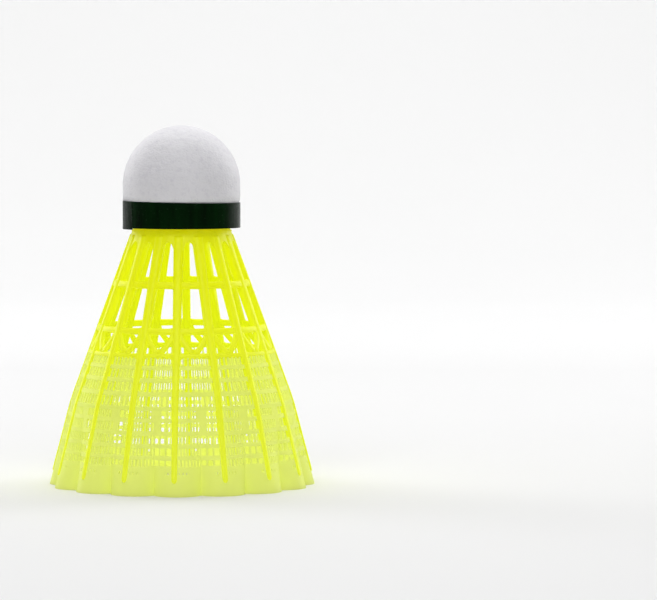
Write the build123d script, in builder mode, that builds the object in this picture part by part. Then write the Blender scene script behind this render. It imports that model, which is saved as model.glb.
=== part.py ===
from build123d import *

import math
import os

# Badminton shuttlecock with a moulded nylon skirt and a cork base, in millimetres.
# It stands on its skirt rim: +Z is its axis, base uppermost, and the origin is the centre of the rim plane.

# Overall shape
skirt_height = 56.85
base_radius = 13.0
base_straight_height = 9.55

# Base: cork in two glued slices under a white skin, with a tape round its lower end
cover_thickness = 0.7
band_height = 5.9
band_thickness = 0.2
band_lap_angle = 22.0
band_lap_start = -164.0
weight_radius = 3.0
bore_depth = 7.8

# Spigot of the skirt, glued into the cork
spigot_radius = 9.4
spigot_bore_radius = 8.3
spigot_length = 7.4
groove_count = 3
groove_pitch = 2.0
groove_height = 0.8
groove_depth = 0.25
glue_thickness = 0.2
shoulder_thickness = 1.2

# Skirt: a cone whose lower third is steeper and turns into outward lobes, one to each rib
lobe_count = 16
collar_radius = 10.9
rim_radius = 29.7
collar_height = 2.6
wall_thickness = 0.5
wall_recess = 0.3
lobe_start_height = 19.0
lobe_start_radius = 24.7
lobe_depth = 3.4
lobe_growth_power = 1.6
valley_wall_thickness = 0.8
loft_steps = 5

# Ribs and the open cage between collar and net
rib_width = 1.2
rib_depth = 1.3
rib_end_height = 2.6
upper_window_top = 54.0
upper_window_bottom = 45.4
lower_window_top = 44.1
lower_window_bottom = 35.5
truss_top = 34.2
truss_bottom = 30.3
strut_width = 0.9
window_corner_radius = 0.9

base_bottom = skirt_height
dome_centre = base_bottom + base_straight_height
cork_radius = base_radius - cover_thickness
band_seat_radius = base_radius - band_thickness
band_top = base_bottom + band_height
bore_radius = spigot_radius + glue_thickness
bore_top = base_bottom + bore_depth
spigot_top = base_bottom + spigot_length
inner_inset = wall_recess + wall_thickness
lobe_pitch = 360 / lobe_count
half_pitch = lobe_pitch / 2

os.makedirs("parts", exist_ok=True)


def skirt_radius(height):
    """Radius of the rib crests: straight from the collar to the lobes' start, and straight from there to the rim."""
    if height > lobe_start_height:
        share = (skirt_height - height) / (skirt_height - lobe_start_height)
        return collar_radius + (lobe_start_radius - collar_radius) * share
    return rim_radius + (lobe_start_radius - rim_radius) * height / lobe_start_height


def meridian(top, bottom, inset):
    """Line down the skirt from one height to another, the given distance inside the rib crests."""
    return Polyline([(skirt_radius(h) - inset, h) for h in (top, lobe_start_height, bottom)])


def lobe_drop(height):
    """How far the valleys lie inside the crests: nothing at the lobes' start, most at the rim."""
    return lobe_depth * (1 - height / lobe_start_height) ** lobe_growth_power


def lobe_arc(height, crest_inset, valley_inset):
    """Arc of one lobe at one height: from a valley over the crest to the next valley."""
    crest = skirt_radius(height) - crest_inset
    valley = skirt_radius(height) - valley_inset - lobe_drop(height)
    return ThreePointArc(
        Vector(valley, 0).rotate(Axis.Z, -half_pitch),
        Vector(crest, 0),
        Vector(valley, 0).rotate(Axis.Z, half_pitch),
    )


def lobe_section(height):
    """Section of one lobe's wall at one height, closed by radial lines in its two valleys."""
    with BuildSketch(Plane.XY.offset(height)) as section:
        with BuildLine():
            outside = lobe_arc(height, wall_recess, wall_recess)
            inside = lobe_arc(height, inner_inset, wall_recess + valley_wall_thickness)
            Line(outside @ 0, inside @ 0)
            Line(outside @ 1, inside @ 1)
        make_face()
    return section.sketch


def bay_half_width(height):
    """Half the width of the clear gap between two ribs, on the face of the wall."""
    return (skirt_radius(height) - wall_recess) * math.sin(math.radians(half_pitch)) - rib_width / 2


def window_outline(top, bottom):
    """Tapered window between two ribs, as the four corners of its outline."""
    low = bay_half_width(bottom)
    high = bay_half_width(top)
    return [(-low, bottom), (low, bottom), (high, top), (-high, top)]


# Windows of one bay, cut straight out from the axis along +X
with BuildPart() as bay_windows:
    with BuildSketch(Plane.YZ):
        with BuildLine():
            Polyline(*window_outline(upper_window_top, upper_window_bottom), close=True)
        upper_window = make_face()
        fillet(upper_window.vertices(), window_corner_radius)
        with BuildLine():
            Polyline(*window_outline(lower_window_top, lower_window_bottom), close=True)
        make_face()
        # openings that leave a V of two struts, from the ribs above to the middle of the ring below
        high = bay_half_width(truss_top)
        low = bay_half_width(truss_bottom)
        with BuildLine():
            Polyline(
                (strut_width - high, truss_top),
                (high - strut_width, truss_top),
                (0, truss_bottom + strut_width),
                close=True,
            )
        make_face()
        for side in (-1, 1):
            with BuildLine():
                Polyline(
                    (side * strut_width, truss_bottom),
                    (side * low, truss_bottom),
                    (side * high, truss_top - strut_width),
                    close=True,
                )
            make_face()
    extrude(amount=rim_radius)

# Wall of one lobe, from the round wall down to the rim
with BuildPart() as lobe:
    loft_step = lobe_start_height / loft_steps
    loft(sections=[lobe_section(lobe_start_height - loft_step * n) for n in range(loft_steps + 1)])

# One rib, a thin plate that follows the wall
with BuildPart() as rib:
    with BuildSketch(Plane.XZ):
        with BuildLine():
            outside = meridian(skirt_height - collar_height, rib_end_height, 0)
            inside = meridian(skirt_height - collar_height, rib_end_height, rib_depth)
            Line(outside @ 0, inside @ 0)
            Line(outside @ 1, inside @ 1)
        make_face()
    extrude(amount=rib_width / 2, both=True)

# Skirt: one nylon moulding
with BuildPart() as skirt:
    # spigot, shoulder and collar
    collar_bottom = skirt_height - collar_height
    with BuildSketch(Plane.XZ):
        with BuildLine():
            Polyline(
                (collar_radius, skirt_height),
                (spigot_radius, skirt_height),
                (spigot_radius, spigot_top),
                (spigot_bore_radius, spigot_top),
                (spigot_bore_radius, skirt_height - shoulder_thickness),
                (skirt_radius(collar_bottom) - rib_depth, collar_bottom),
                (skirt_radius(collar_bottom), collar_bottom),
                close=True,
            )
        make_face()
        # round part of the wall, for the open cage and the upper net
        with BuildLine():
            Polyline(
                (skirt_radius(collar_bottom) - wall_recess, collar_bottom),
                (skirt_radius(lobe_start_height) - wall_recess, lobe_start_height),
                (skirt_radius(lobe_start_height) - inner_inset, lobe_start_height),
                (skirt_radius(collar_bottom) - inner_inset, collar_bottom),
                close=True,
            )
        make_face()
    revolve(axis=Axis.Z)
    with PolarLocations(0, lobe_count, start_angle=half_pitch):
        add(bay_windows.part, mode=Mode.SUBTRACT)
    # grooves that key the glue
    with BuildSketch(Plane.XZ):
        groove_middle = base_bottom + spigot_length / 2
        with Locations((spigot_radius, groove_middle)):
            with GridLocations(0, groove_pitch, 1, groove_count):
                Rectangle(2 * groove_depth, groove_height)
    revolve(axis=Axis.Z, mode=Mode.SUBTRACT)
    # lobed part of the wall
    with PolarLocations(0, lobe_count):
        add(lobe.part)
    # ribs, from the collar almost to the lobe tips
    with PolarLocations(0, lobe_count):
        add(rib.part)
skirt.part.label = "skirt"
export_step(skirt.part, "parts/skirt.step")

# Lower slice of the cork, with the blind bore for the spigot and the seat of the weight above it
with BuildPart() as cork_disc:
    with Locations((0, 0, base_bottom)):
        Cylinder(cork_radius, base_straight_height, align=(Align.CENTER, Align.CENTER, Align.MIN))
        Cylinder(bore_radius, bore_depth, align=(Align.CENTER, Align.CENTER, Align.MIN), mode=Mode.SUBTRACT)
    with Locations((0, 0, bore_top)):
        Cylinder(weight_radius, dome_centre - bore_top,
                 align=(Align.CENTER, Align.CENTER, Align.MIN), mode=Mode.SUBTRACT)
cork_disc.part.label = "cork_disc"
export_step(cork_disc.part, "parts/cork_disc.step")

# Half ball of cork, glued on top of the lower slice
with BuildPart() as cork_dome:
    with BuildSketch(Plane.XZ):
        with BuildLine():
            crown = CenterArc((0, dome_centre), cork_radius, 0, 90)
            Line((0, dome_centre), crown @ 0)
            Line((0, dome_centre), crown @ 1)
        make_face()
    revolve(axis=Axis.Z)
cork_dome.part.label = "cork_dome"
export_step(cork_dome.part, "parts/cork_dome.step")

# Steel slug pressed into the web between the bore and the dome
with BuildPart() as balance_weight:
    with Locations((0, 0, bore_top)):
        Cylinder(weight_radius, dome_centre - bore_top, align=(Align.CENTER, Align.CENTER, Align.MIN))
balance_weight.part.label = "balance_weight"
export_step(balance_weight.part, "parts/balance_weight.step")

# White skin drawn over the ball and down its straight side, pressed in by the tape's thickness under it
with BuildPart() as cork_cover:
    with BuildSketch(Plane.XZ):
        with BuildLine():
            outer_crown = CenterArc((0, dome_centre), base_radius, 0, 90)
            inner_crown = CenterArc((0, dome_centre), cork_radius, 0, 90)
            Line(outer_crown @ 1, inner_crown @ 1)
            Polyline(
                outer_crown @ 0,
                (base_radius, band_top),
                (band_seat_radius, band_top),
                (band_seat_radius, base_bottom),
                (cork_radius, base_bottom),
                inner_crown @ 0,
            )
        make_face()
    revolve(axis=Axis.Z)
cork_cover.part.label = "cork_cover"
export_step(cork_cover.part, "parts/cork_cover.step")

# Tape round the lower end of the base, one turn with a short lap over its own start
with BuildPart() as speed_band:
    with BuildSketch(Plane.XY.offset(base_bottom)):
        Circle(base_radius)
        Circle(band_seat_radius, mode=Mode.SUBTRACT)
    extrude(amount=band_height)
    with BuildSketch(Plane.XZ.rotated((0, 0, band_lap_start))):
        with Locations((base_radius, base_bottom)):
            Rectangle(band_thickness, band_height, align=(Align.MIN, Align.MIN))
    revolve(axis=Axis.Z, revolution_arc=band_lap_angle)
speed_band.part.label = "speed_band"
export_step(speed_band.part, "parts/speed_band.step")

# Adhesive between spigot and bore, which also fills the spigot's grooves
with BuildPart() as glue_film:
    with BuildSketch(Plane.XY.offset(base_bottom)):
        Circle(bore_radius)
        Circle(spigot_radius - groove_depth, mode=Mode.SUBTRACT)
    extrude(amount=spigot_length)
    add(skirt.part, mode=Mode.SUBTRACT)
glue_film.part.label = "glue_film"
export_step(glue_film.part, "parts/glue_film.step")
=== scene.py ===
import math

import bmesh
import bpy
import numpy as np
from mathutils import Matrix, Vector


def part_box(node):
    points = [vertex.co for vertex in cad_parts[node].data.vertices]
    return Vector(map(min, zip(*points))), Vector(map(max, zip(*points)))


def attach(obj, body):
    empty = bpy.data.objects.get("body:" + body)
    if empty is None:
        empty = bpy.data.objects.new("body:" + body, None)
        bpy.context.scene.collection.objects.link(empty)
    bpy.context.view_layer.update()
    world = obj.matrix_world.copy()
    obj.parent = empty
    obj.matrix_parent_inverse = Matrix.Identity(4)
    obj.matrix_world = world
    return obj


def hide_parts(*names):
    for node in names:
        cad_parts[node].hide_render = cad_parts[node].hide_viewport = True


# Badminton shuttlecock: a moulded nylon skirt, a cork ball under a white skin, and a tape round the ball's
# lower end. It stands on the rim of its skirt, with its axis upright and the ball on top.
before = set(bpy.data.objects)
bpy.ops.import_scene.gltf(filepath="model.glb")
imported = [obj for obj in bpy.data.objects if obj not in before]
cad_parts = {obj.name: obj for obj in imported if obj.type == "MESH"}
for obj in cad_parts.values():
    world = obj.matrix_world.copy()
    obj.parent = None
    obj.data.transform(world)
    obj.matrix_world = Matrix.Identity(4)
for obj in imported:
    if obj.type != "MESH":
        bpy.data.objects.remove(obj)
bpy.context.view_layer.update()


# ---------------------------------------------------------------------------------------------- skirt collar
# The collar is the thick top of the skirt, which is all one moulding of dyed nylon. Its grooved spigot is
# glued into the cork, the ball sits on its shoulder, and its lower edge is cut by the arches of the windows.
mm = 0.001
turn = 2 * math.pi
rib_count = 16
pitch = turn / rib_count
wall_recess = 0.3 * mm
collar_recess = 0.24 * mm
collar_radius = 10.9 * mm
base_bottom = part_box("speed_band")[0].z
rim_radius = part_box("skirt")[1].x + wall_recess
lobe_start = 19.0 * mm
lobe_start_radius = 24.7 * mm
spigot_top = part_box("skirt")[1].z
spigot_radius = 9.4 * mm
spigot_bore = 8.3 * mm
groove_depth = 0.25 * mm
groove_height = 0.8 * mm
groove_pitch = 2.0 * mm
shoulder_thickness = 1.2 * mm
collar_edge = 54.0 * mm
collar_wall = 1.2 * mm
lead_in_width = 0.4 * mm
lead_in_height = 0.5 * mm
collar_steps = 6
collar_bevel = 0.12 * mm
columns_per_bay = 12
weld_distance = 0.001 * mm
window_half = 1.35 * mm
window_arch = 2.4 * mm


def skirt_radius(height):
    """Radius of the rib crests: straight from collar to lobes' start, and straight from there to the rim."""
    share = (base_bottom - height) / (base_bottom - lobe_start)
    upper = collar_radius + (lobe_start_radius - collar_radius) * share
    lower = rim_radius + (lobe_start_radius - rim_radius) * height / lobe_start
    return np.where(height > lobe_start, upper, lower)


def around(radius, angle, height):
    """Points at a radius, an angle about the axis and a height: x = r cos a, y = r sin a, z = height."""
    radius, angle, height = np.broadcast_arrays(radius, angle, height)
    return np.stack([radius * np.cos(angle), radius * np.sin(angle), height], -1)


def grid_faces(rows, columns, ring_rows=False, ring_columns=False):
    """Four-cornered faces between neighbours of a grid. A ring joins its last row or column to its first."""
    row = np.arange(rows if ring_rows else rows - 1)[:, None]
    column = np.arange(columns if ring_columns else columns - 1)[None, :]
    below = (row + 1) % rows
    beside = (column + 1) % columns
    upper = (row * columns + column, row * columns + beside)
    lower = (below * columns + beside, below * columns + column)
    return np.stack(np.broadcast_arrays(*upper, *lower), -1).reshape(-1, 4)


def make_piece(name, points, faces, finish, bevel):
    """A piece of one or more like shells: points is (shells, corners, 3), and faces index into one shell.
    Corners that fall together are welded and each shell is turned outwards, then its edges are rounded."""
    start = np.arange(len(points))[:, None, None] * points.shape[1]
    mesh = bpy.data.meshes.new(name)
    mesh.from_pydata(points.reshape(-1, 3).tolist(), [], (faces + start).reshape(-1, faces.shape[1]).tolist())
    shell = bmesh.new()
    shell.from_mesh(mesh)
    bmesh.ops.remove_doubles(shell, verts=shell.verts, dist=weld_distance)
    bmesh.ops.recalc_face_normals(shell, faces=shell.faces)
    shell.to_mesh(mesh)
    shell.free()
    return dress(name, mesh, finish, bevel)


def dress(name, mesh, finish, bevel):
    """Puts a mesh in the scene as a smooth piece on the one body, with its finish and rounded edges."""
    mesh.shade_smooth()
    mesh.materials.append(finish)
    piece = bpy.data.objects.new(name, mesh)
    bpy.context.scene.collection.objects.link(piece)
    if bevel:
        rounding = piece.modifiers.new("rounding", "BEVEL")
        rounding.width = bevel
        rounding.segments = 1
        rounding.limit_method = "ANGLE"
        rounding.angle_limit = math.radians(40)
        rounding.harden_normals = True
    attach(piece, "root")
    return piece


class Shade:
    """One socket in a material's nodes. Sums, differences and products of shades add Math nodes."""

    def __init__(self, tree, socket=None):
        self.tree = tree
        self.socket = socket

    def node(self, kind, settings={}, inputs={}, output=0):
        """Adds a node of a type, makes its settings, then fills its sockets with values or links."""
        made = self.tree.nodes.new(kind)
        for name, value in settings.items():
            setattr(made, name, value)
        for name, value in inputs.items():
            if isinstance(value, Shade):
                self.tree.links.new(value.socket, made.inputs[name])
            else:
                made.inputs[name].default_value = value
        return Shade(self.tree, made.outputs[output] if made.outputs else None)

    def __add__(self, other):
        return self.node("ShaderNodeMath", {"operation": "ADD"}, {0: self, 1: other})

    def __sub__(self, other):
        return self.node("ShaderNodeMath", {"operation": "SUBTRACT"}, {0: self, 1: other})

    def __rsub__(self, other):
        return self.node("ShaderNodeMath", {"operation": "SUBTRACT"}, {0: other, 1: self})

    def __mul__(self, other):
        return self.node("ShaderNodeMath", {"operation": "MULTIPLY"}, {0: self, 1: other})

    __radd__ = __add__
    __rmul__ = __mul__


def new_finish(name):
    """An empty material, and the place on the piece that its pattern is worked out from."""
    finish = bpy.data.materials.new(name)
    finish.use_nodes = True
    finish.node_tree.nodes.clear()
    return finish, Shade(finish.node_tree).node("ShaderNodeTexCoord", {}, {}, "Object")


def stretched(place, x, y, z):
    """The place with each direction scaled, so that a pattern can run along one of them."""
    return place.node("ShaderNodeMapping", {}, {"Vector": place, "Scale": (x, y, z)})


def noise(place, scale, detail=2.0, roughness=0.5):
    """Cloudy noise between 0 and 1, with scale cells to the metre."""
    inputs = {"Vector": place, "Scale": scale, "Detail": detail, "Roughness": roughness}
    return place.node("ShaderNodeTexNoise", {}, inputs)


def between(factor, low, high):
    """The colour that lies the factor's share of the way from low to high."""
    return factor.node("ShaderNodeMix", {"data_type": "RGBA"}, {0: factor, 6: low, 7: high}, 2)


def spread(value, low, high, to_low=0.0, to_high=1.0):
    """Value carried from the range low..high to the range to_low..to_high, and kept inside it."""
    return value.node("ShaderNodeMapRange", {}, {0: value, 1: low, 2: high, 3: to_low, 4: to_high})


def bumped(height, depth):
    """A normal for a relief of the given depth in metres."""
    return height.node("ShaderNodeBump", {}, {"Distance": depth, "Height": height})


pale_below = 6 * mm
deep_above = 46 * mm
cloud_shift = 12 * mm


def nylon(name, deep, pale, through, painted_glow):
    """Dyed nylon that lets part of the light through: deeper towards the collar, paler towards the rim, with
    clouds and the faint upright flow lines of a moulding. A little emission is painted glow that brightens
    it, partly for the dye's fluorescence."""
    finish, place = new_finish(name)
    height = place.node("ShaderNodeSeparateXYZ", {}, {0: place}, "Z")
    clouds = noise(place, 160.0)
    flow = noise(stretched(place, 1.0, 1.0, 0.12), 1400.0, 1.0)
    paleness = spread(height + cloud_shift * clouds - cloud_shift / 2, pale_below, deep_above, 1.0, 0.0)
    colour = between(paleness, deep, pale)
    colour = between(spread(flow, 0.35, 0.75, 0.0, 0.22), colour, pale)
    skin = place.node("ShaderNodeBsdfPrincipled", {}, {
        "Base Color": colour,
        "Roughness": spread(clouds, 0.2, 0.8, 0.34, 0.50),
        "Specular IOR Level": 0.3,
        # painted glow: emission in the nylon's own colour brightens it whatever the lamps do
        "Emission Color": colour,
        "Emission Strength": painted_glow,
        "Normal": bumped(flow + 0.6 * noise(place, 900.0), 0.03 * mm),
    })
    shining_through = place.node("ShaderNodeBsdfTranslucent", {}, {"Color": colour})
    mixed = place.node("ShaderNodeMixShader", {}, {0: through, 1: skin, 2: shining_through})
    place.node("ShaderNodeOutputMaterial", {}, {"Surface": mixed})
    return finish


# the last value is the strength of the nylon's painted glow
nylon_thick = nylon("nylon_thick", (0.80, 0.83, 0.002, 1), (0.82, 0.87, 0.05, 1), 0.35, 0.34)

angle = np.arange(rib_count * columns_per_bay) * (pitch / columns_per_bay)
from_rib = np.abs((angle / pitch + 0.5) % 1 - 0.5) * pitch
from_middle = (pitch / 2 - from_rib) * skirt_radius(collar_edge)
to_side = np.clip(from_middle / window_half, 0, 1)
edge_height = collar_edge - window_arch * (1 - np.sqrt(1 - to_side**2))
level = np.ones_like(angle)
profile = [(spigot_radius * level, spigot_top * level)]
for groove in (1, 0, -1):
    middle = (spigot_top + base_bottom) / 2 + groove * groove_pitch
    for depth, side in ((0, 1), (groove_depth, 1), (groove_depth, -1), (0, -1)):
        profile.append(((spigot_radius - depth) * level, (middle + side * groove_height / 2) * level))
profile.append((spigot_radius * level, base_bottom * level))
for share in np.linspace(0, 1, collar_steps):
    height = base_bottom + share * (edge_height - base_bottom)
    profile.append((skirt_radius(height) - collar_recess, height))
profile.append((skirt_radius(edge_height) - collar_wall, edge_height))
inner_edge = skirt_radius(collar_edge) - collar_wall - lead_in_width
profile.append((inner_edge * level, (collar_edge + lead_in_height) * level))
profile.append((spigot_bore * level, (base_bottom - shoulder_thickness) * level))
profile.append((spigot_bore * level, spigot_top * level))
points = np.stack([around(radius, angle, height) for radius, height in profile])
collar_faces = grid_faces(len(profile), len(angle), True, True)
points = points.reshape(1, -1, 3)
collar = make_piece("skirt_collar", points, collar_faces, nylon_thick, collar_bevel)
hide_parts("skirt")


# ------------------------------------------------------------------------------------------------ skirt ribs
# Sixteen ribs stiffen the skirt, as feather shafts do. Each is a slim bar with rounded edges in the same
# moulding, deepest at the collar, and it runs down to a thin round end just above the rim.
rib_top = 56.3 * mm
rib_end = 3.0 * mm
rib_width_top = 2.3 * mm
rib_width_end = 1.2 * mm
rib_depth_top = 2.3 * mm
rib_depth_end = 0.8 * mm
rib_steps = 40
rib_end_share = 0.012
bar_sides = 12
bar_squareness = 0.6


def unit(vectors):
    """Vectors at length one."""
    return vectors / np.linalg.norm(vectors, axis=-1, keepdims=True)


def skirt_normal(angle, height):
    """Outward normal of the skirt: the radial direction, tipped up by the slope of its side."""
    slope = (skirt_radius(height + mm) - skirt_radius(height - mm)) / (2 * mm)
    return unit(around(1.0, angle, -slope))


def bars(centre, along, outward, width, depth):
    """Bars along paths. At each step of a path stands a rounded oblong square to it, of half-width w and
    half-depth d: x = w cos a and y = d sin a, with cosine and sine raised to the power bar_squareness."""
    around_bar = np.arange(bar_sides) * (turn / bar_sides)
    cosine, sine = np.cos(around_bar), np.sin(around_bar)
    x = np.sign(cosine) * np.abs(cosine) ** bar_squareness
    y = np.sign(sine) * np.abs(sine) ** bar_squareness
    across = unit(np.cross(along, outward))[..., None, :]
    out = unit(np.cross(across[..., 0, :], along))[..., None, :]
    out = out * np.sign(np.sum(out * outward[..., None, :], -1, keepdims=True))
    half_width = (width / 2)[..., None, None]
    half_depth = (depth / 2)[..., None, None]
    ring = centre[..., None, :] + x[:, None] * half_width * across + y[:, None] * half_depth * out
    return ring.reshape(len(centre), -1, 3)


def rounded_ends(step, share):
    """Size of a bar's section along it: full, but falling to nothing over the given share at both ends."""
    to_end = np.clip(np.minimum(step, 1 - step) / share, 0, 1)
    return np.sqrt(1 - (1 - to_end) ** 2)


step = (1 - np.cos(np.linspace(0, math.pi, rib_steps))) / 2
height = rib_top + step * (rib_end - rib_top)
size = rounded_ends(step, rib_end_share)
rib_angle = (np.arange(rib_count) * pitch)[:, None]
width = (rib_width_top + step * (rib_width_end - rib_width_top)) * size + 0 * rib_angle
depth = (rib_depth_top + step * (rib_depth_end - rib_depth_top)) * size + 0 * rib_angle
outward = skirt_normal(rib_angle, height)
centre = around(skirt_radius(height), rib_angle, height) - outward * (depth / 2)[..., None]
along = unit(np.gradient(centre, axis=1))
rib_faces = grid_faces(rib_steps, bar_sides, False, True)
ribs = bars(centre, along, outward, width, depth)
ribs = make_piece("skirt_ribs", ribs, rib_faces, nylon_thick, 0)
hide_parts("skirt")


# ----------------------------------------------------------------------------------------------- skirt rings
# Three rings of the same moulding tie the ribs together round the open cage: one between its two rows of
# windows, one under them, and one that the net hangs from. Each swells into a small fillet at every rib.
ring_middles = (44.8 * mm, 34.95 * mm, 29.7 * mm)
ring_heights = (1.55 * mm, 1.45 * mm, 1.1 * mm)
ring_depth = 0.95 * mm
ring_recess = 0.22 * mm
ring_fillet = 0.55 * mm
fillet_reach = 0.9 * mm
ring_steps = rib_count * 18

angle = np.arange(ring_steps) * (turn / ring_steps)
middle = np.array(ring_middles)[:, None]
from_rib = np.abs((angle / pitch + 0.5) % 1 - 0.5) * pitch * skirt_radius(middle)
width = np.array(ring_heights)[:, None] + 2 * ring_fillet * np.exp(-((from_rib / fillet_reach) ** 2))
outward = skirt_normal(angle, middle)
centre = around(skirt_radius(middle) - ring_recess, angle, middle) - outward * ring_depth / 2
along = around(1.0, angle + turn / 4, 0 * middle)
ring_faces = grid_faces(ring_steps, bar_sides, True, True)
rings = bars(centre, along, outward, width, ring_depth + 0 * width)
rings = make_piece("skirt_rings", rings, ring_faces, nylon_thick, 0)
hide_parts("skirt")


# ---------------------------------------------------------------------------------------------- skirt struts
# Between the two lower rings each bay holds a V of two struts of the same moulding. They run from the ribs on
# the upper ring to the middle of the bay on the lower one, and bow a little.
strut_top = 34.6 * mm
strut_foot = 30.0 * mm
strut_width = 1.2 * mm
strut_depth = 0.8 * mm
strut_bow = 0.35 * mm
strut_start = 0.07
strut_steps = 12
strut_end_share = 0.08
strut_flare = 0.35

step = np.linspace(0, 1, strut_steps)
bay = np.repeat(np.arange(rib_count) + 0.5, 2)[:, None]
side = np.tile([-1, 1], rib_count)[:, None]
height = strut_top + step * (strut_foot - strut_top) + 0 * bay
bow = strut_bow * np.sin(math.pi * step) / skirt_radius(height)
angle = pitch * (bay + side * (0.5 - strut_start) * (1 - step)) + side * bow
size = rounded_ends(step, strut_end_share)
outward = skirt_normal(angle, height)
centre = around(skirt_radius(height) - ring_recess, angle, height) - outward * (strut_depth / 2)
along = unit(np.gradient(centre, axis=1))
width = strut_width * (1 + strut_flare * (2 * step - 1) ** 2) * size + 0 * bay
struts = bars(centre, along, outward, width, strut_depth * size + 0 * bay)
strut_faces = grid_faces(strut_steps, bar_sides, False, True)
struts = make_piece("skirt_struts", struts, strut_faces, nylon_thick, 0)
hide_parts("skirt")


# ------------------------------------------------------------------------------------------------- upper net
# The upper net is a thin round wall of the same moulding between the ribs. Each bay has four rows of seven
# upright holes, with slim upright threads between them and broader threads round the skirt between the rows.
net_thickness = 0.5 * mm
upper_rows = np.array([29.7, 27.15, 24.5, 21.6, 18.5]) * mm
rib_share = 0.065
upper_holes = 7
upper_open_width = 0.68
upper_open_height = 0.69
net_bevel = 0.07 * mm
hole_fullness = 1.75
hole_tightness = 0.9
border_points = 12
cell_points = 2 * border_points


def perforated(columns, rows, open_width, open_height):
    """Cells of a net in two parameters, each with twelve faces between its border and its hole, which is an
    oblong with cut corners. Where a hole has no width, they meet in the middle. Returns (cells, 24, 2)."""
    side = np.array([-1, -1 / 3, 1 / 3])
    one = np.ones(3)
    square = [(side, -one), (one, side), (-side, one), (-one, -side)]
    border = np.concatenate([np.stack(pair, -1) for pair in square])
    hole = border * np.where(np.abs(border) < 1, hole_fullness, 1.0)
    hole = hole * np.where(np.abs(border).min(1, keepdims=True) == 1, hole_tightness, 1.0)
    low = np.stack(np.meshgrid(columns[:-1], rows[1:], indexing="ij"), -1).reshape(-1, 1, 2)
    high = np.stack(np.meshgrid(columns[1:], rows[:-1], indexing="ij"), -1).reshape(-1, 1, 2)
    share = np.stack([open_width, open_height], -1).reshape(-1, 1, 2)
    middle, half = (low + high) / 2, (high - low) / 2
    return np.concatenate([middle + half * border, middle + half * share * hole], 1)


def thick_sheet(name, outside, inside, cells, finish, bevel):
    """A closed shell from a net's outer and inner points, (copies, cells, 24, 3): its outer faces, its inner
    faces turned round, and a wall along every edge that only one face uses."""
    corner = np.arange(border_points)
    beside = (corner + 1) % border_points
    faces = np.stack([corner, beside, beside + border_points, corner + border_points], -1)
    faces = (faces + np.arange(len(outside) * cells)[:, None, None] * cell_points).reshape(-1, 4)
    outside, inside = outside.reshape(-1, 3), inside.reshape(-1, 3)
    places = np.round(outside / weld_distance).astype(np.int64)
    _, kept, index = np.unique(places, axis=0, return_index=True, return_inverse=True)
    faces = index.reshape(-1)[faces]
    outside, inside = outside[kept], inside[kept]
    edges = np.stack([faces, np.roll(faces, -1, 1)], -1).reshape(-1, 2)
    edges = edges[edges[:, 0] != edges[:, 1]]
    count = len(kept)
    free = edges[~np.isin(edges[:, 0] * count + edges[:, 1], edges[:, 1] * count + edges[:, 0])]
    walls = np.stack([free[:, 1], free[:, 0], free[:, 0] + count, free[:, 1] + count], -1)
    pointed = faces[:, 2] == faces[:, 3]
    quads = np.concatenate([faces[~pointed], faces[~pointed][:, ::-1] + count, walls])
    triangles = np.concatenate([faces[pointed][:, :3], faces[pointed][:, 2::-1] + count])
    mesh = bpy.data.meshes.new(name)
    mesh.from_pydata(np.concatenate([outside, inside]).tolist(), [], quads.tolist() + triangles.tolist())
    return dress(name, mesh, finish, bevel)


nylon_net = nylon("nylon_net", (0.83, 0.87, 0.20, 1), (0.85, 0.89, 0.33, 1), 0.60, 0.34)

columns = np.concatenate([[0], np.linspace(rib_share, 1 - rib_share, upper_holes + 1), [1]])
is_open = np.zeros((len(columns) - 1, len(upper_rows) - 1))
is_open[1:-1, :] = 1
cells = perforated(columns, upper_rows, is_open * upper_open_width, is_open * upper_open_height)
bay = np.arange(rib_count)[:, None, None]
angle = pitch * (bay + cells[..., 0])
height = cells[..., 1] + 0 * angle
outside = around(skirt_radius(height) - wall_recess, angle, height)
inside = around(skirt_radius(height) - wall_recess - net_thickness, angle, height)
upper_net = thick_sheet("net_upper", outside, inside, len(cells), nylon_net, net_bevel)
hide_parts("skirt")


# ------------------------------------------------------------------------------------------------- lower net
# Below the round net the same thin wall turns into sixteen lobes, like the vanes of feathers. Three columns
# of big holes are moulded left of each rib, and a fan of fine slits right of it. The rim itself is plain.
lobe_depth = 3.4 * mm
lobe_growth = 1.6
lobe_turn = 0.05 * pitch
lower_rows = np.array([18.5, 16.1, 13.3, 10.6, 8.2, 5.9, 3.9, 1.9, 0.0]) * mm
big_columns = 3
slit_columns = 7
rib_left = -0.20
rib_right = 0.02
notch_rows = 2
far_across = 0.5
big_open_width = 0.80
slit_open_width = 0.52
lower_open_height = 0.68
last_row_height = 0.52
small_share = 0.45
last_row = 4
small_row = 5
fan_top = 18.6 * mm
fan_start = 0.21
fan_spread = 1.09
fan_power = 0.25


def lobed(lobe, across, height, inset):
    """A point of the lobed wall. Across runs from -1 in one notch over the crest at 0 to 1 in the next notch,
    along a round arc from valley to valley; the valleys fall in by lobe_depth (1 - z / start)^lobe_growth."""
    crest = skirt_radius(height) - wall_recess - inset
    valley = crest - lobe_depth * np.clip(1 - height / lobe_start, 0, 1) ** lobe_growth
    half = pitch / 2
    middle = (crest**2 - valley**2) / (2 * (crest - valley * math.cos(half)))
    reach = np.arctan2(valley * math.sin(half), valley * math.cos(half) - middle)
    x = middle + (crest - middle) * np.cos(across * reach)
    y = (crest - middle) * np.sin(across * reach)
    return around(np.hypot(x, y), lobe * pitch + lobe_turn + np.arctan2(y, x), height)


def fan_edge(height):
    """How far across a lobe the slits reach: just past the rib at the fan's top, and to the notch below."""
    return fan_start + fan_spread * np.clip(1 - (height / fan_top) ** 2, 0, 1) ** fan_power


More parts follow.
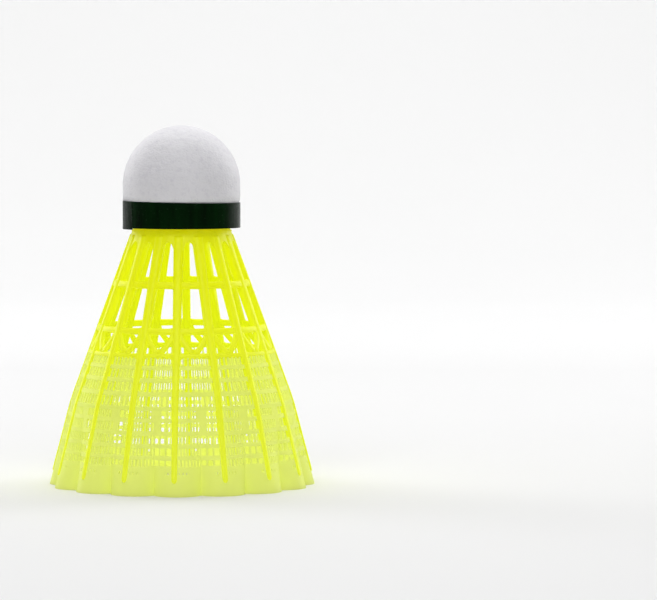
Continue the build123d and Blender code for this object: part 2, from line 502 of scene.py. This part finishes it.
columns = np.concatenate([
    np.linspace(-1, rib_left, big_columns + 1),
    np.linspace(rib_right, 1, slit_columns + 1),
])
across, row = np.meshgrid(np.arange(len(columns) - 1), np.arange(len(lower_rows) - 1), indexing="ij")
middle_height = (lower_rows[row] + lower_rows[row + 1]) / 2
is_big = across < big_columns
is_slit = (across > big_columns) & (columns[across + 1] < fan_edge(middle_height))
near_notch = (across == 0) & (row < notch_rows)
far_out = np.abs(columns[across] + columns[across + 1]) / 2 > far_across
is_open = (is_big & ~near_notch | is_slit) & (row <= small_row) & ~((row == small_row) & far_out)
shrink = is_open * np.where(row == small_row, small_share, 1.0)
open_width = shrink * np.where(is_big, big_open_width, slit_open_width)
open_height = shrink * np.where(is_big & (row == last_row), last_row_height, lower_open_height)
cells = perforated(columns, lower_rows, open_width, open_height)
outside = lobed(bay, cells[..., 0], cells[..., 1], 0.0)
inside = lobed(bay, cells[..., 0], cells[..., 1], net_thickness)
lower_net = thick_sheet("net_lower", outside, inside, len(cells), nylon_net, net_bevel)
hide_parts("skirt")


# -------------------------------------------------------------------------------------------------- cork skin
# The ball's skin is a white synthetic leather, about 0.7 mm thick, stretched over the cork and glued. It is
# pressed in by the tape's thickness under the tape, and its surface keeps a fine grain and tiny creases.
skin_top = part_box("cork_cover")[1].z
ball_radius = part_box("cork_cover")[1].x
ball_middle = skin_top - ball_radius
skin_thickness = 0.7 * mm
tape_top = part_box("speed_band")[1].z
tape_thickness = 0.2 * mm
cork_radius = ball_radius - skin_thickness
seat_radius = ball_radius - tape_thickness
ball_steps = 48
skin_columns = 160
skin_unevenness = 0.05 * mm
waves_round = 3
waves_up = 40
slow_waves_round = 2
slow_waves_start = 1.3
straight_steps = 4
edge_gap = 0.08 * mm


def white_leather():
    """White synthetic leather: a fine grain of tiny cells and short creases, with painted shade darkening the
    creases.
    """
    finish, place = new_finish("white_leather")
    grain = place.node("ShaderNodeTexVoronoi", {"feature": "SMOOTH_F1"}, {"Vector": place, "Scale": 2600.0})
    creases = noise(place, 900.0, 4.0, 0.65)
    clouds = noise(place, 90.0, 3.0)
    dull = spread(clouds, 0.3, 0.7)
    colour = between(dull, (0.80, 0.79, 0.82, 1), (0.74, 0.73, 0.76, 1))
    # painted shade: the colour darkens towards grey where the crease pattern is strong
    colour = between(spread(creases, 0.5, 0.75, 0.0, 0.5), colour, (0.60, 0.58, 0.64, 1))
    relief = bumped(grain + 1.4 * creases, 0.08 * mm)
    skin = place.node("ShaderNodeBsdfPrincipled", {}, {
        "Base Color": colour,
        "Roughness": spread(creases, 0.3, 0.7, 0.42, 0.60),
        "Normal": relief,
    })
    place.node("ShaderNodeOutputMaterial", {}, {"Surface": skin})
    return finish


angle = np.arange(skin_columns) * (turn / skin_columns)
latitude = np.linspace(math.pi / 2, 0, ball_steps)
outer_radius = np.concatenate([ball_radius * np.cos(latitude), [ball_radius] * straight_steps])
outer_height = np.concatenate([
    ball_middle + ball_radius * np.sin(latitude),
    np.linspace(ball_middle, tape_top + edge_gap, straight_steps),
])
seat_radii = [seat_radius, seat_radius, seat_radius, cork_radius]
seat_heights = [tape_top, (tape_top + base_bottom) / 2, base_bottom, base_bottom]
inner_radius = cork_radius * np.cos(latitude[::-1])
inner_height = ball_middle + cork_radius * np.sin(latitude[::-1])
radius = np.concatenate([outer_radius, seat_radii, inner_radius])[:, None]
height = np.concatenate([outer_height, seat_heights, inner_height])[:, None] + 0 * angle
waves = np.sin(waves_round * angle + waves_up * height / ball_radius)
waves = waves * np.sin(slow_waves_round * angle - slow_waves_start)
is_outer = (np.arange(len(radius)) < len(outer_radius))[:, None]
radius = radius - is_outer * skin_unevenness * (1 + waves) / 2 * radius / ball_radius
points = around(radius, angle, height)
skin_faces = grid_faces(len(radius), skin_columns, False, True)
skin = make_piece("cork_skin", points.reshape(1, -1, 3), skin_faces, white_leather(), 0)
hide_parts("cork_cover")


# ------------------------------------------------------------------------------------------------------- tape
# The tape is a strip of thin, glossy, dark green film, stuck once round the skirt end of the ball. Its end
# laps over its start, is pulled thin there and hangs a little low.
lap_start = math.radians(-164)
lap_angle = math.radians(22)
tape_columns = 200
tape_rows = 9
tape_tilt = 0.40 * mm
tape_low_side = math.radians(3.5)
lap_droop = 0.28 * mm
lap_rise = math.radians(10)
wrinkle = 0.035 * mm
fine_ripples = (46, 5)
coarse_ripples = (17, -3)
lap_thinning = 0.75
wrinkle_reach = math.radians(40)
tape_bevel = 0.04 * mm


def green_film():
    """Very dark green film with a faint clear gloss, and with paler upright stretch marks and scuffs."""
    finish, place = new_finish("green_film")
    marks = noise(stretched(place, 1.0, 1.0, 0.15), 420.0, 3.0, 0.6)
    scuffs = noise(place, 1500.0, 4.0, 0.7)
    colour = between(spread(marks, 0.35, 0.75), (0.0004, 0.0060, 0.0006, 1), (0.001, 0.018, 0.002, 1))
    colour = between(spread(scuffs, 0.66, 0.78, 0.0, 0.35), colour, (0.10, 0.16, 0.09, 1))
    film = place.node("ShaderNodeBsdfPrincipled", {}, {
        "Base Color": colour,
        "Roughness": spread(scuffs, 0.3, 0.8, 0.16, 0.34),
        "Specular IOR Level": 0.05,
        "Normal": bumped(marks + 0.2 * scuffs, 0.05 * mm),
    })
    place.node("ShaderNodeOutputMaterial", {}, {"Surface": film})
    return finish


wound = np.linspace(0, turn + lap_angle, tape_columns)[:, None]
up = np.linspace(0, 1, tape_rows)
angle = lap_start + wound + 0 * up
into_lap = np.clip((wound - turn + lap_rise) / lap_rise, 0, 1)
into_lap = into_lap**2 * (3 - 2 * into_lap)
bottom = base_bottom - lap_droop * into_lap
top = tape_top - tape_tilt * (1 + np.cos(angle - tape_low_side)) / 2
height = bottom + up * (top - bottom)
near_lap = np.exp(-(((wound - turn) / wrinkle_reach) ** 2))
ripples = np.sin(fine_ripples[0] * wound + fine_ripples[1] * up)
ripples = ripples * np.sin(coarse_ripples[0] * wound + coarse_ripples[1] * up) ** 2
lift = tape_thickness * into_lap + wrinkle * near_lap * (1 + ripples) / 2
thickness = tape_thickness * (1 - lap_thinning * np.clip((wound - turn) / lap_angle, 0, 1))
inner = seat_radius + lift
sheet = np.stack([around(inner + thickness, angle, height), around(inner, angle, height)])
tape_points = sheet.reshape(1, -1, 3)
one_side = grid_faces(tape_columns, tape_rows)
count = tape_columns * tape_rows
rim = np.concatenate([
    np.arange(tape_rows),
    np.arange(1, tape_columns) * tape_rows + tape_rows - 1,
    count - 2 - np.arange(tape_rows - 1),
    np.arange(tape_columns - 2, 0, -1) * tape_rows,
])
rim_walls = np.stack([rim, np.roll(rim, -1), np.roll(rim, -1) + count, rim + count], -1)
tape_faces = np.concatenate([one_side, one_side[:, ::-1] + count, rim_walls])
tape = make_piece("green_tape", tape_points, tape_faces, green_film(), tape_bevel)
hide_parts("speed_band")


# ------------------------------------------------------------------------------- cork, weight and glue inside
# Inside are the two slices of pressed cork granules, glued together round a turned steel slug, and the film
# of glue in the bore. Their CAD shapes are right, so they only get their finishes.
def pressed_cork():
    """Cork granules pressed with a binder: cells of several browns, with dark binder and pores between."""
    finish, place = new_finish("pressed_cork")
    cells = {"Vector": place, "Scale": 650.0}
    granules = place.node("ShaderNodeTexVoronoi", {}, cells, "Color")
    shade = granules.node("ShaderNodeSeparateXYZ", {}, {0: granules}, "X")
    gaps = place.node("ShaderNodeTexVoronoi", {"feature": "DISTANCE_TO_EDGE"}, cells)
    pores = noise(place, 2400.0, 3.0)
    colour = between(shade, (0.55, 0.33, 0.16, 1), (0.36, 0.19, 0.08, 1))
    colour = between(spread(gaps, 0.0, 0.06, 1.0, 0.0), colour, (0.12, 0.06, 0.03, 1))
    cork = place.node("ShaderNodeBsdfPrincipled", {}, {
        "Base Color": colour,
        "Roughness": spread(pores, 0.2, 0.8, 0.75, 0.92),
        "Normal": bumped(spread(gaps, 0.0, 0.1) + 0.5 * pores, 0.15 * mm),
    })
    place.node("ShaderNodeOutputMaterial", {}, {"Surface": cork})
    return finish


def turned_steel():
    """Bright steel with the fine rings that a lathe tool leaves round the axis."""
    finish, place = new_finish("turned_steel")
    rings = place.node("ShaderNodeTexWave", {"wave_type": "RINGS", "rings_direction": "Z"}, {
        "Vector": place,
        "Scale": 1200.0,
        "Distortion": 0.6,
    })
    stains = noise(place, 500.0, 3.0)
    steel = place.node("ShaderNodeBsdfPrincipled", {}, {
        "Base Color": between(spread(stains, 0.4, 0.8), (0.56, 0.56, 0.55, 1), (0.42, 0.39, 0.35, 1)),
        "Metallic": 1.0,
        "Roughness": spread(rings, 0.0, 1.0, 0.24, 0.38),
        "Normal": bumped(rings, 0.01 * mm),
    })
    place.node("ShaderNodeOutputMaterial", {}, {"Surface": steel})
    return finish


def amber_glue():
    """Set glue: pale amber, glossy, cloudy with small bubbles."""
    finish, place = new_finish("amber_glue")
    bubbles = place.node("ShaderNodeTexVoronoi", {}, {"Vector": place, "Scale": 1800.0})
    clouds = noise(place, 300.0, 3.0)
    glue = place.node("ShaderNodeBsdfPrincipled", {}, {
        "Base Color": between(clouds, (0.78, 0.62, 0.32, 1), (0.88, 0.80, 0.58, 1)),
        "Roughness": spread(clouds, 0.3, 0.7, 0.12, 0.25),
        "Normal": bumped(spread(bubbles, 0.0, 0.35), 0.03 * mm),
    })
    place.node("ShaderNodeOutputMaterial", {}, {"Surface": glue})
    return finish


cork = pressed_cork()
for node, finish in (
    ("cork_disc", cork),
    ("cork_dome", cork),
    ("balance_weight", turned_steel()),
    ("glue_film", amber_glue()),
):
    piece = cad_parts[node]
    piece.data.materials.clear()
    piece.data.materials.append(finish)


# ------------------------------------------------------------------------------------------- floor and lights
# The stage is one sheet of matt white paper that lies flat under the shuttlecock and sweeps up behind it,
# where a painted glow brightens it more. Four soft lamps stand above, in front, and behind on the left and
# right.
stage_half_width = 3.0
stage_front = -3.0
stage_bend_start = 0.7
stage_bend = 0.5
stage_height = 2.2
stage_back = stage_bend_start + stage_bend
bend_steps = 13
bend = np.linspace(0, math.pi / 2, bend_steps)
sweep_y = np.concatenate([[stage_front], stage_bend_start + stage_bend * np.sin(bend), [stage_back]])
sweep_z = np.concatenate([[0], stage_bend * (1 - np.cos(bend)), [stage_height]])
sides = np.array([-stage_half_width, stage_half_width])[:, None]
sweep = np.stack(np.broadcast_arrays(sides, sweep_y, sweep_z), -1).reshape(-1, 3)
stage_mesh = bpy.data.meshes.new("paper_sweep")
stage_mesh.from_pydata(sweep.tolist(), [], grid_faces(2, len(sweep_y)).tolist())
stage_mesh.shade_smooth()
paper, place = new_finish("white_paper")
depth_back = place.node("ShaderNodeSeparateXYZ", {}, {0: place}, "Y")
paper_skin = place.node("ShaderNodeBsdfPrincipled", {}, {
    "Base Color": between(noise(place, 6.0), (0.77, 0.77, 0.77, 1), (0.79, 0.79, 0.79, 1)),
    "Roughness": 0.9,
    # painted glow: the paper emits more light the further back it lies, though it is no lamp
    "Emission Color": between(spread(depth_back, 0.35, 1.2), (0.0, 0.0, 0.0, 1), (0.35, 0.35, 0.35, 1)),
    "Emission Strength": 1.0,
})
place.node("ShaderNodeOutputMaterial", {}, {"Surface": paper_skin})
stage_mesh.materials.append(paper)
paper_sweep = bpy.data.objects.new("paper_sweep", stage_mesh)
bpy.context.scene.collection.objects.link(paper_sweep)


def softbox(name, place, aim, size, power):
    """An oblong lamp with a soft white face, at a place, turned to face a point."""
    lamp = bpy.data.lights.new(name, "AREA")
    lamp.shape = "RECTANGLE"
    lamp.size, lamp.size_y = size
    lamp.energy = power
    box = bpy.data.objects.new(name, lamp)
    bpy.context.scene.collection.objects.link(box)
    box.location = place
    heading = Vector(aim) - Vector(place)
    box.rotation_euler = heading.to_track_quat("-Z", "Y").to_euler()


softbox("lamp_above", (0.0, 0.24, 0.9), (0, 0.1, 0), (1.0, 1.0), 7.1)
softbox("lamp_front", (0.0, -0.8, 0.75), (0, 0, 0.05), (0.9, 0.5), 4.4)
softbox("lamp_left", (-0.75, 0.55, 0.35), (0, 0, 0.04), (0.5, 0.6), 2.9)
softbox("lamp_right", (0.75, 0.55, 0.35), (0, 0, 0.04), (0.5, 0.6), 2.9)
world = bpy.data.worlds.new("studio")
world.use_nodes = True
world.node_tree.nodes["Background"].inputs["Color"].default_value = (1.0, 1.0, 1.0, 1.0)
world.node_tree.nodes["Background"].inputs["Strength"].default_value = 0.06
bpy.context.scene.world = world
bpy.context.scene.view_settings.view_transform = "Standard"


# ----------------------------------------------------------------------------------------------------- camera
# A long lens stands 0.8 m away, just above the level of the ball's top. It looks past the shuttlecock's right
# side, so that the shuttlecock stands left of the middle of the picture.
camera_distance = 0.80
camera_height = 0.083
camera_turn = math.radians(3.5)
aim_beside = 0.0325
aim_height = 0.0407
sensor_width = 36.0
focal_length = 198.1
lens = bpy.data.cameras.new("camera")
lens.sensor_width = sensor_width
lens.lens = focal_length
camera = bpy.data.objects.new("camera", lens)
bpy.context.scene.collection.objects.link(camera)
right = Vector((math.cos(camera_turn), math.sin(camera_turn), 0))
back = Vector((math.sin(camera_turn), -math.cos(camera_turn), 0))
camera.location = back * camera_distance + Vector((0, 0, camera_height))
aim = right * aim_beside + Vector((0, 0, aim_height))
camera.rotation_euler = (aim - camera.location).to_track_quat("-Z", "Y").to_euler()
bpy.context.scene.camera = camera
